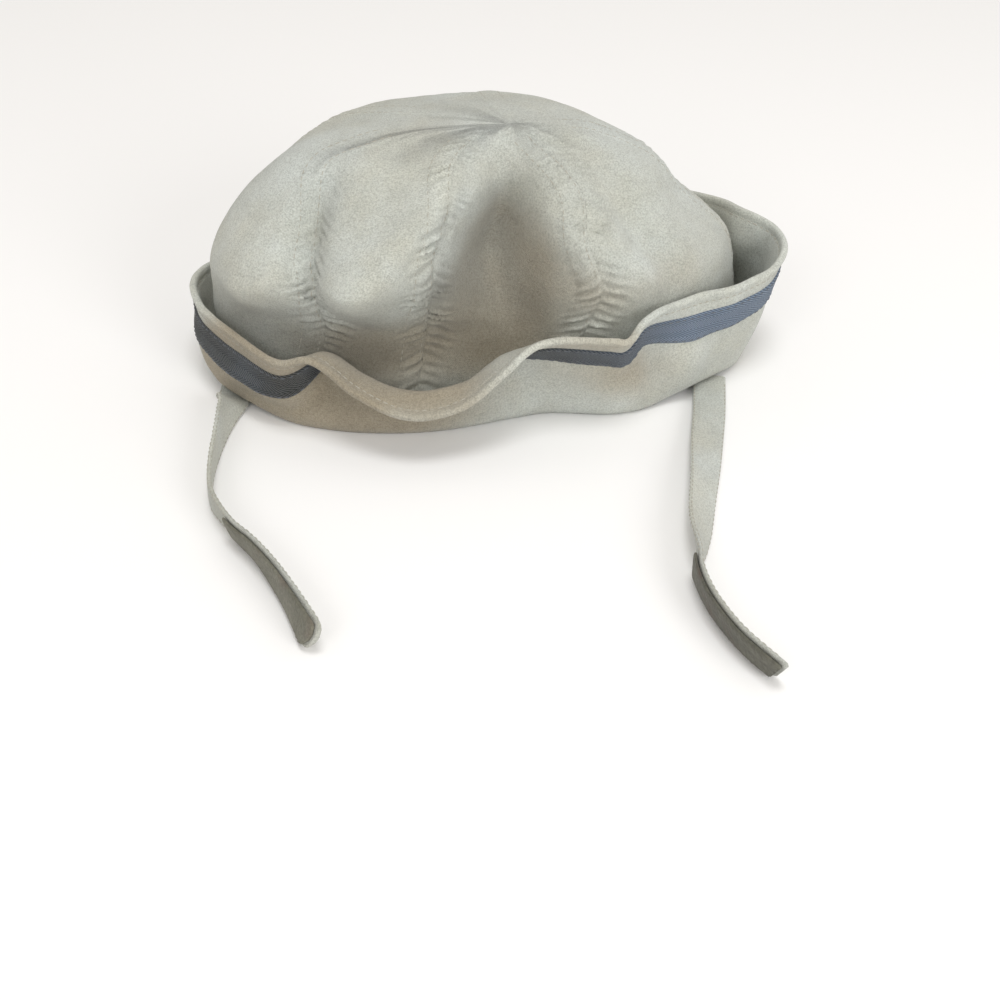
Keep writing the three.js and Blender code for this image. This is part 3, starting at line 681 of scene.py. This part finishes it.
brim = {
    "wall": 2.2, "seamDrop": 0.3, "seamFall": 0.8, "foldFlat": 4.0, "foldSetBack": 1.0, "foldRun": 0.5,
    "foldLean": 0.18, "risePull": 0.42, "flopPull": 0.8,
    "flop": (0.0, 100.0),  # the rim tips over: degrees from and to
    "stations": 575,
    "steps": {"fall": 12, "flat": 4, "rise": 21, "tape": 12, "band": 10, "edge": 5},
    "mapColumn": -12,  # the flat map's length is taken near the rim
    "free": (2.5, 9.0),  # heights over which the folds begin
    "sections": [  # foldX, foldY, rimX, rimY, rimZ, tip, lift
        (-101, 10, -104, 14, 30, 8, 0), (-102, -6, -105, -4, 33, 10, 0),
        (-96, -23, -99, -20, 32, 15, 2.4), (-84, -36, -86, -38, 31, 15, 2.4),
        (-69, -45, -71, -53, 30, 25, 0), (-55, -50, -58, -58, 32, 84, 0),
        (-42, -52, -44, -66, 24, 106, 0), (-26, -52, -27, -72, 19.5, 108, 0),
        (-10, -49, -10, -70, 21.5, 104, 0), (8, -43, 5, -65, 32, 88, 0), (20, -40, 17, -58, 38.6, 54, 0),
        (38, -41, 38, -56, 38.6, 44, 0), (46, -40, 45, -54, 37.5, 42, 0), (54, -37, 52, -48, 42.5, 34, 0),
        (68, -29, 69, -31, 41.5, 15, 2.4), (80, -19, 85, -24, 42, 18, 2.4), (89, -7, 99, -13, 44, 22, 0),
        (92, 8, 103, 3, 46, 22, 0), (86, 27, 91, 21, 49, 15, 0), (66, 43, 73, 42, 46, 12, 0),
        (34, 52, 36, 60, 44, 12, 0), (-5, 54, -5, 63, 43, 12, 0), (-44, 48, -47, 56, 40, 12, 0),
        (-77, 36, -81, 42, 34, 12, 0), (-94, 24, -96, 28, 28, 10, 0),
    ],
    "folds": [  # section, below the rim, run along in sections, run down, depth
        (2.6, 10, 1.4, 3.0, 1.3), (3.4, 17, 1.3, 3.0, -1.4), (4.0, 25, 1.2, 4.0, 1.5),  # inner left
        (13.2, 24, 0.38, 16, 2.8), (13.9, 26, 0.30, 15, -1.8), (14.6, 28, 0.30, 14, 1.6),  # outer right
        (10.6, 22, 0.5, 6, -1.2),
        (17.4, 18, 0.30, 26, -2.6), (18.0, 16, 0.25, 26, 2.4),  # inner right
        (7.6, 11, 0.9, 3.0, 0.8), (8.4, 15, 0.7, 3.0, -0.9),  # flopped front
    ],
    "stains_and_shade": [
        (-80, -34, 18, 30, 30, 18, 0.60),  # stain and painted shade on the left
        (-74, -50, 8, 40, 24, 16, 0.80),  # stain and painted shade outside of the left
        (-27, -52, 7, 34, 12, 11, 0.60),  # painted shadow and stain under the flopped front
        (-22, -62, 22, 42, 17, 14, 0.85),  # stain and painted shade on the flopped front
        # painted shade at the left end of the flopped front
        (-47, -59, 29, 16, 12, 10, 0.90),
        (35, -55, 37, 24, 8, 6, 0.55),  # stain and painted shade on the rim
        (-82, -41, 27, 26, 14, 11, 0.72),
        (-95, -30, 14, 14, 14, 12, 0.85),  # stain and painted shade above the left strap
        # painted shade of a fold on the outer right
        (57, -42, 17, 18, 12, 14, 0.50),
        (36, -48, 22, 24, 12, 14, 0.46),  # painted shade on the falls of the outer right
    ],
    "grime": [
        (-46, -60, 28, 20, 14, 10, 0.34),  # painted shade at the left end of the flopped front
        (-82, -41, 27, 26, 10, 8, 0.20),
        (-60, -52, 8, 60, 20, 12, 0.16),
    ],
    "crumple": [(30.0, 0.7), (12.0, 0.40), (5.0, 0.14)],
    "hem": {"roll": 0.16, "rollAt": 1.5, "rollWidth": 1.2, "line": 3.0, "groove": 0.24, "grooveWidth": 0.6,
            "round": 0.8},
    "tape": {
        "below": 7.0, "width": 10.0, "thick": 0.8, "under": 0.05, "lift": 0.06,
        "fadedRight": (30.0, 66.0), "rightShare": 0.9, "fadedBack": (-5.0, 35.0), "backShare": 0.7,
    },
}


def bezier(a, b, c, d, count=60):
    t = np.linspace(0, 1, count)[None, :, None]
    a, b, c, d = (point[:, None, :] for point in (a, b, c, d))
    return (1 - t) ** 3 * a + 3 * (1 - t) ** 2 * t * b + 3 * (1 - t) * t**2 * c + t**3 * d


def alongCurves(curves, ways):
    return np.stack([resample(*curve) for curve in zip(curves, runLength(curves, 1), ways)])


def brimSheet():
    place = np.arange(brim["stations"]) * len(brim["sections"]) / brim["stations"]
    table = rowsAt(brim["sections"], place, True)
    foldX, foldY, rimX, rimY, rimZ, tip, lift = table.T
    _, _, midX, _, halfWidth, front, back = crown["sections"][0]
    depth = np.where(foldY < 0, front, back)
    angle = np.arctan2((foldX - midX) / halfWidth, -foldY / depth)
    outward = unit(np.stack((np.sin(angle) / halfWidth, -np.cos(angle) / depth, np.zeros_like(angle)), -1))
    fold = np.stack((foldX, foldY, lift + 0.5 * brim["wall"]), -1) - brim["foldSetBack"] * outward
    foldInside = fold - brim["foldFlat"] * outward
    base = np.zeros_like(angle)
    seam = crownSurface(angle, base) - 0.5 * crown["wall"] * surfaceFrame(crownSurface, angle, base)[2]
    seam[:, 2] -= brim["seamDrop"]
    rim = np.stack((rimX, rimY, rimZ), -1)
    drop = (seam - foldInside)[:, 2:]
    seamPull = seam - brim["seamFall"] * drop * upward
    fall = bezier(seam, seamPull, foldInside - brim["foldRun"] * drop * outward, foldInside)
    length = np.linalg.norm(rim - fold, axis=-1, keepdims=True)
    flopped = ramp(tip, *brim["flop"])[:, None]
    pull = brim["risePull"] + (brim["flopPull"] - brim["risePull"]) * flopped
    tip = np.radians(tip)[:, None]
    rimWay = np.sin(tip) * outward + np.cos(tip) * upward
    foldPull = fold + length * (brim["foldLean"] * outward + brim["risePull"] * upward)
    rise = bezier(fold, foldPull, rim - pull * length * rimWay, rim)
    riseLength = runLength(rise, 1)[:, -1:]
    steps = brim["steps"]
    tucked = steps["fall"] + steps["flat"]
    fallShares = np.linspace(0, 1, steps["fall"] + 1)[None, :-1]
    flatShares = np.linspace(0, 1, steps["flat"] + 1)[None, :-1, None]
    fallPart = alongCurves(fall, fallShares * runLength(fall, 1)[:, -1:])
    flatPart = foldInside[:, None] + flatShares * (fold - foldInside)[:, None]
    tape = brim["tape"]
    low = tape["below"] + tape["width"]
    edge = brim["hem"]["round"]
    onTape = np.linspace(low, tape["below"], steps["tape"] + 1)
    onBand = np.linspace(tape["below"], edge, steps["band"] + 1)[1:]
    onEdge = edge * (1 - np.sin(np.linspace(0, 0.5, steps["edge"] + 1)[1:] * math.pi))
    below = np.concatenate((onTape, onBand, onEdge))
    lower = np.linspace(0, 1, steps["rise"] + 1)[None, :-1] * (riseLength - low)
    ways = np.concatenate((lower, riseLength - below[None, :]), 1)
    risePart = alongCurves(rise, np.clip(ways, 0, None))
    points = np.concatenate((fallPart, flatPart, risePart), 1)
    farBelow = np.full((len(place), tucked), 99.0)
    belowRim = np.concatenate((farBelow, riseLength - ways), 1)
    around = np.roll(points, -1, 0) - np.roll(points, 1, 0)
    climb = np.gradient(points, axis=1)
    climb[:, 0] = -upward
    outs = unit(np.cross(around, climb))
    outs[:, steps["fall"]:tucked + 1] = -upward
    free = ramp(points[..., 2], *brim["free"])
    free[:, :tucked] = 0
    relief = sum(height * ripple(points, size, 40.0) for size, height in brim["crumple"])
    for section, below, along, down, depth in brim["folds"]:
        relief = relief - depth * hump(place - section, along)[:, None] * hump(belowRim - below, down)
    relief = relief * free
    return points + outs * relief[..., None], outs, belowRim


sheetPoints, sheetOuts, belowRim = brimSheet()
sheetColumns = sheetPoints.shape[1]
hem = brim["hem"]
halfWall = 0.5 * brim["wall"] + hem["roll"] * hump(belowRim - hem["rollAt"], hem["rollWidth"])
halfWall = halfWall - hem["groove"] * hump(belowRim - hem["line"], hem["grooveWidth"])
atRim = np.clip(hem["round"] - belowRim, 0, None) / hem["round"]
halfWall = halfWall - hem["round"] * (1 - np.sqrt(np.clip(1 - atRim**2, 0, 1)))
brimOuter = sheetPoints + sheetOuts * halfWall[..., None]
brimInner = sheetPoints - sheetOuts * halfWall[..., None]
aroundWay = runLength(np.concatenate((sheetPoints, sheetPoints[:1])), 0)
aroundWay = np.broadcast_to(aroundWay[:, brim["mapColumn"], None], (len(sheetPoints) + 1, sheetColumns))
climbWay = runLength(sheetPoints, 1)
climbWay = np.concatenate((climbWay, climbWay[:1]))
brimFlat = np.stack((aroundWay, climbWay), -1)
# patches of stain and painted shade on the brim
brimPainted = {"stain": stainAndShadeAt(sheetPoints, brim["stains_and_shade"]), "grime": stainAndShadeAt(sheetPoints, brim["grime"])}
brimPiece = clothBody("brim_cloth", brimOuter, brimInner, True, brimFlat, clothMat, brimPainted)
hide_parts("brim")
hemColumn = int(np.argmin(np.abs(belowRim[0] - hem["line"])))
hemPaths = [(brimOuter[:, hemColumn], sheetOuts[:, hemColumn], True),
            (brimInner[:, hemColumn], -sheetOuts[:, hemColumn], True)]
brimThreads = sewn("brim_hem_stitches", hemPaths, clothThread)
print("brim turned up")


tapeFinish = {
    "row": 5.0,  # width of one slanting row of the herringbone
    "rib": 1.5,
    "slant": 1.6,
    "thread": 0.55,
    "faded": ((0.085, 0.120, 0.180), (0.260, 0.330, 0.425)),
    # a darker tone, laid on towards the left and the front
    "darkened": ((0.022, 0.024, 0.023), (0.074, 0.078, 0.075)),
    "bump": 0.22,
}


def tapeMaterial(name, look):
    tape = Finish(name, Sheen_Weight=0.2, Specular_IOR_Level=0.2)
    turn = 2 * math.pi
    zigzag = ((tape.along / look["row"]).fraction() - 0.5).size() * (2 * look["row"])
    ribs = (tape.across * (turn / look["rib"]) + zigzag * (turn / look["slant"])).sine()
    threads = (tape.along * (turn / look["thread"])).sine()
    patches = tape.mottle(60.0, 4.0)
    shade = (ribs * 0.5 + 0.5) * (0.55 + patches * 0.6)
    faded, darkened = (tape.blend(shade, *look[state]) for state in ("faded", "darkened"))
    # the painted share darkens the tape towards the left and the front
    colour = tape.blend(tape.painted("soil") * (0.55 + tape.mottle(40.0, 4.0) * 0.7), faded, darkened)
    height = ribs * 0.8 + threads * 0.25 + tape.mottle(500.0) * 0.6
    return tape.finish(colour, 0.8 + patches * 0.15, height, look["bump"])


tapeMat = tapeMaterial("herringbone_tape", tapeFinish)
tapeLook = brim["tape"]
tapeDown = (belowRim[0] - tapeLook["below"]) / tapeLook["width"]
tapeColumns = np.flatnonzero((tapeDown > -0.001) & (tapeDown < 1.001))
tapePoints = brimOuter[:, tapeColumns]
tapeOuts = sheetOuts[:, tapeColumns]
tapeEdge = np.linspace(-1, 1, len(tapeColumns))
tapeLift = tapeLook["lift"] + tapeLook["thick"] * np.sqrt(np.clip(1 - tapeEdge**8, 0.02, 1))
tapeOuter = tapePoints + tapeOuts * tapeLift[None, :, None]
tapeInner = tapePoints + tapeOuts * tapeLook["under"]
tapeAcross = np.linspace(0, tapeLook["width"], len(tapeColumns))
tapeFlat = np.stack(np.broadcast_arrays(aroundWay[:, tapeColumns], tapeAcross), -1)
# the tape grows darker towards the left and the front
tapeDarkening = 1 - tapeLook["rightShare"] * ramp(tapePoints[..., 0], *tapeLook["fadedRight"])
tapeDarkening = tapeDarkening * (1 - tapeLook["backShare"] * ramp(tapePoints[..., 1], *tapeLook["fadedBack"]))
tapePiece = clothBody("brim_tape_cloth", tapeOuter, tapeInner, True, tapeFlat, tapeMat, {"soil": tapeDarkening})
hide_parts("brim_tape")
tapePaths = [(tapeOuter[:, column], tapeOuts[:, column], True) for column in (1, -2)]
tapeThreads = sewn("tape_stitches", tapePaths, tapeThread, Pitch=0.0030)
print("tape sewn on")

straps = {
    "width": 11.5, "thick": 1.6, "step": 1.0, "samples": 40, "slantRun": 22.0,
    "padWidth": 10.0, "padThick": 1.3, "padGap": 0.05,
    "padCorner": 0.5,  # how much sharper than the strap's
    "creaseWidth": 0.35, "creaseRun": (26.0, 18.0),
    "stitches": {"Pitch": 0.0024, "Length": 0.0017},
    "stitchStart": 6, "stitchEnd": -5, "stitchLift": 0.02,
    "soil": {"before": 40.0, "after": 4.0, "stain": 0.10, "padStain": 0.15, "padGrime": 0.22},
    "left": {
        "route": [  # x, y, roll
            (-90, -20, 0), (-90, -31, -6), (-89.8, -42, -60), (-90.3, -54, -80), (-90.5, -66, -90),
            (-90.2, -79, -94), (-88.5, -92, -92), (-84.5, -101.5, -82), (-77.5, -112, -73),
            (-70.5, -121, -78), (-63.7, -132, -88), (-57.5, -143.7, -96), (-49, -162, -114),
        ],
        "padStart": 93.0, "padMargin": 0.3, "corner": 3.8, "slant": -4.0,
    },
    "right": {
        "route": [
            (78, -17, 0), (76.3, -31, -4), (74.5, -44, -12), (72, -59, -18), (69.8, -73, -28),
            (67.3, -88, -41), (65.2, -100, -46), (63.6, -110, -53), (62.3, -119, -69), (61.1, -127.5, -89),
            (61.2, -135, -84), (62.8, -144.5, -80), (65.9, -154, -77), (70.5, -164, -75), (78, -175.5, -74),
        ],
        "padStart": 114.0, "padMargin": 0.3, "corner": 1.6, "slant": -7.0,
    },
}


def strapFrames(route):
    place = np.linspace(0, len(route) - 1, straps["samples"] * (len(route) - 1) + 1)
    x, y, roll = rowsAt(route, place, False).T
    roll = np.radians(roll)
    z = 0.5 * straps["width"] * np.abs(np.sin(roll)) + 0.5 * straps["thick"] * np.abs(np.cos(roll))
    line = np.stack((x, y, z), -1)
    way = runLength(line, 0)
    ways = np.linspace(0, way[-1], int(way[-1] / straps["step"]) + 1)
    points = resample(line, way, ways)
    rolls = np.interp(ways, way, roll)[:, None]
    tangent = np.gradient(points, axis=0) * (1, 1, 0)
    side = unit(np.cross(upward, unit(tangent)))
    cosine, sine = np.cos(rolls), np.sin(rolls)
    return ways, points, cosine * side + sine * upward, cosine * upward - sine * side


def ribbon(frames, width, low, high, corner, slant, across=17):
    ways, points, wide, face = frames
    shares = np.sin(np.linspace(-0.5, 0.5, across) * math.pi)
    plump = np.sqrt(np.clip(1 - np.abs(shares) ** 6, 0.01, 1))
    left = ways[-1] - ways
    half = 0.5 * width - corner + np.sqrt(np.clip(corner**2 - np.clip(corner - left, 0, None) ** 2, 0, None))
    offset = half[:, None] * shares
    spread = points[:, None] + offset[..., None] * wide[:, None]
    tangent = unit(np.gradient(points, axis=0))
    cut = ramp(left, straps["slantRun"], 0.0)[:, None] * slant * offset / straps["width"]  # a slanting end
    spread = spread + cut[..., None] * tangent[:, None]
    middle = 0.5 * (low + high)
    levels = [middle + (height - middle) * plump for height in (high, low)]
    faces = [spread + level[None, :, None] * face[:, None] for level in levels]
    return faces, np.stack(np.broadcast_arrays(offset, ways[:, None]), -1)


def padMaterial(name, dark, light, soil, speckle, bump):
    pile = Finish(name, Sheen_Weight=0.15, Specular_IOR_Level=0.25)
    patches = pile.mottle(70.0, 4.0, 0.65)
    grain = pile.mottle(speckle, 3.0, 0.7)
    colour = pile.coats(
        pile.blend((patches * 1.4 - 0.2).within(0.1, 0.9), dark, light),
        (pile.mottle(120.0, 4.0).within(0.52, 0.75) * 0.7, soil),
        (grain.within(0.30, 0.70) * 0.5, tuple(0.45 * part for part in dark)),
        # painted shade along a crease
        (pile.painted("crease") * 0.8, tuple(0.30 * part for part in dark)),
    )
    return pile.finish(colour, 0.8 + patches * 0.15, grain * 0.8 + patches * 0.4, bump)


pads = {
    "loop": {
        "look": {
            "dark": (0.135, 0.132, 0.098), "light": (0.240, 0.235, 0.185), "soil": (0.160, 0.125, 0.100),
            "speckle": 900.0, "bump": 0.5,
        },
        "crease": (0.0, 0.0),  # strength of the painted crease shade and its place across the pad
        "pile": {"Density": 3.2e6, "Reach": 0.00055, "Thick": 0.00007, "Sweep": 3.1, "Seed": 5},
    },
    "hook": {
        "look": {
            "dark": (0.095, 0.094, 0.072), "light": (0.160, 0.158, 0.125), "soil": (0.120, 0.085, 0.070),
            "speckle": 700.0, "bump": 0.6,
        },
        "crease": (1.0, -0.6),
        "pile": {"Density": 2.6e6, "Reach": 0.00060, "Thick": 0.00010, "Sweep": 2.2, "Seed": 8},
    },
}


def pileTree(name, inputs, material):
    tree, given, result = geometryTree(name, inputs)
    make = partial(addNode, tree)
    spread = make("GeometryNodeDistributePointsOnFaces", Mesh=given["Geometry"],
                  Density=given["Density"], Seed=given["Seed"])
    arc = make("GeometryNodeCurveArc", Resolution=6, Radius=given["Reach"])
    tree.links.new(given["Sweep"], arc.inputs["Sweep Angle"])
    ring = make("GeometryNodeCurvePrimitiveCircle", Resolution=3, Radius=given["Thick"])
    hair = make("GeometryNodeCurveToMesh", Curve=arc.outputs[0])
    tree.links.new(ring.outputs[0], hair.inputs["Profile Curve"])
    hair = make("GeometryNodeTransform", Geometry=hair.outputs[0], Rotation=(math.pi / 2, 0, 0))
    lean = make("FunctionNodeRandomValue", {"data_type": "FLOAT_VECTOR"}, i0=(-0.5, -0.5, 0.0),
                i1=(0.5, 0.5, 2 * math.pi), Seed=given["Seed"])
    placed = make("GeometryNodeInstanceOnPoints", Points=spread.outputs[0], Instance=hair.outputs[0],
                  Rotation=spread.outputs["Rotation"])
    leant = make("GeometryNodeRotateInstances", Instances=placed.outputs[0], Rotation=lean.outputs[0])
    return closeTree(tree, leant.outputs[0], material, result)


sides = (("left", "loop"), ("right", "hook"))
strapPieces, strapLengths, padPieces, padPiles, strapThreads = {}, {}, {}, {}, {}
for sideName, padName in sides:
    look, padLook = straps[sideName], pads[padName]
    frames = strapFrames(look["route"])
    ways = frames[0]
    halfStrap = 0.5 * straps["thick"]
    (top, under), flat = ribbon(frames, straps["width"], -halfStrap, halfStrap, look["corner"], look["slant"])
    soil = straps["soil"]
    onPad = ramp(ways, look["padStart"] - soil["before"], look["padStart"] + soil["after"])
    onPad = np.broadcast_to(onPad[:, None], flat.shape[:2])
    painted = {"stain": soil["stain"] + soil["padStain"] * onPad, "grime": soil["padGrime"] * onPad}
    strap = clothBody(f"{sideName}_strap_cloth", top, under, False, flat, clothMat, painted)
    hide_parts(f"{sideName}_strap")
    strapPieces[sideName] = strap
    strapLengths[sideName] = ways[-1]
    paths = []
    first = straps["stitchStart"]
    padRow = int(look["padStart"] / straps["step"])
    for grid, sign, last in ((top, 1.0, straps["stitchEnd"]), (under, -1.0, padRow)):
        short = grid[first:last]
        outs = sign * frames[3][first:first + len(short)]
        paths += [(short[:, column] + straps["stitchLift"] * outs, outs, False) for column in (2, -3)]
    strapThreads[sideName] = sewn(f"{sideName}_strap_stitches", paths, clothThread, **straps["stitches"])
    kept = (ways >= look["padStart"]) & (ways <= ways[-1] - look["padMargin"])
    padFrames = [grid[kept] for grid in frames]
    padHigh = -halfStrap - straps["padGap"]
    (padTop, padUnder), flat = ribbon(padFrames, straps["padWidth"], padHigh - straps["padThick"], padHigh,
                                      look["corner"] - straps["padCorner"], look["slant"])
    padMat = padMaterial(f"{padName}_pile", **padLook["look"])
    depth, aside = padLook["crease"]
    # painted shade along the hook pad's crease
    creaseShade = depth * hump(flat[..., 0] - aside, straps["creaseWidth"])
    creaseShade = creaseShade * ramp(flat[..., 1], *(ways[-1] - run for run in straps["creaseRun"]))
    pad = clothBody(f"{padName}_pad_cloth", padTop, padUnder, False, flat, padMat, {"crease": creaseShade})
    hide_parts(f"{padName}_pad")
    padPieces[sideName] = pad
    rows, columns = padTop.shape[:2]
    face = bpy.data.meshes.new(f"{padName}_face")
    corners = ((padTop + opening) * mm).reshape(-1, 3).tolist()
    starts = [row * columns + column for row in range(1, rows - 2) for column in range(1, columns - 2)]
    cells = [(start, start + 1, start + columns + 1, start + columns) for start in starts]
    face.from_pydata(corners, [], cells)
    pileLook = padLook["pile"]
    tree = pileTree(f"{padName}_fibres", pileLook, padMat)
    padPiles[sideName] = grow(f"{padName}_fibres", face, tree, pileLook)
print("straps laid out")

floorLook = {"reach": 3.0, "level": -0.0003, "colour": (0.93, 0.93, 0.93, 1), "roughness": 0.9}
floorMesh = bpy.data.meshes.new("floor")
turns = ((-1, -1), (1, -1), (1, 1), (-1, 1))
floorCorners = [(x * floorLook["reach"], y * floorLook["reach"], floorLook["level"]) for x, y in turns]
floorMesh.from_pydata(floorCorners, [], [(0, 1, 2, 3)])
floor = addObject("floor", floorMesh)
floorMat = bpy.data.materials.new("pale_floor")
floorMat.use_nodes = True
floorShader = floorMat.node_tree.nodes["Principled BSDF"].inputs
floorShader["Base Color"].default_value = floorLook["colour"]
floorShader["Roughness"].default_value = floorLook["roughness"]
floorMesh.materials.append(floorMat)

studio = {
    "sky": 0.62,
    "skyColour": (1.0, 0.96, 0.91, 1),
    "lights": [  # name, place, size, power
        ("key", (0.10, -0.50, 1.92), 0.70, 13.0),
        ("fill", (0.75, -1.05, 0.62), 0.60, 6.4),
        ("left", (-0.50, -1.30, 0.95), 0.70, 4.0),
    ],
    "aim": (0.0, 0.05, 0.03),
}
world = bpy.data.worlds.new("studio")
bpy.context.scene.world = world
world.use_nodes = True
background = world.node_tree.nodes["Background"].inputs
background["Color"].default_value = studio["skyColour"]
background["Strength"].default_value = studio["sky"]
for lightName, place, size, power in studio["lights"]:
    lightData = bpy.data.lights.new(lightName, "AREA")
    lightData.shape = "DISK"
    lightData.size = size
    lightData.energy = power
    aimed(lightName, lightData, place, studio["aim"])
print("lit")

clothPieces = [*crownPieces, brimPiece, *strapPieces.values()]
threads = [crownThreads, brimThreads, *strapThreads.values()]
for piece in [*clothPieces, *threads, tapePiece, tapeThreads, *padPieces.values(), *padPiles.values()]:
    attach(piece, "root")

# flat sizes of the brim, the tape and the straps
sewnTo = [brimPiece.name]
ring = np.concatenate((sheetPoints, sheetPoints[:1]))
for piece, grid, held, under, carried in (
    (brimPiece, ring, "folded", [], [brimThreads, crownThreads]),
    (tapePiece, np.concatenate((tapePoints, tapePoints[:1])), "laid", sewnTo, [tapeThreads]),
):
    length, width, area = flatCut(grid)
for sideName, piece in strapPieces.items():
    width, length = straps["width"] * mm, strapLengths[sideName] * mm
    carried = [padPieces[sideName], padPiles[sideName], strapThreads[sideName]]
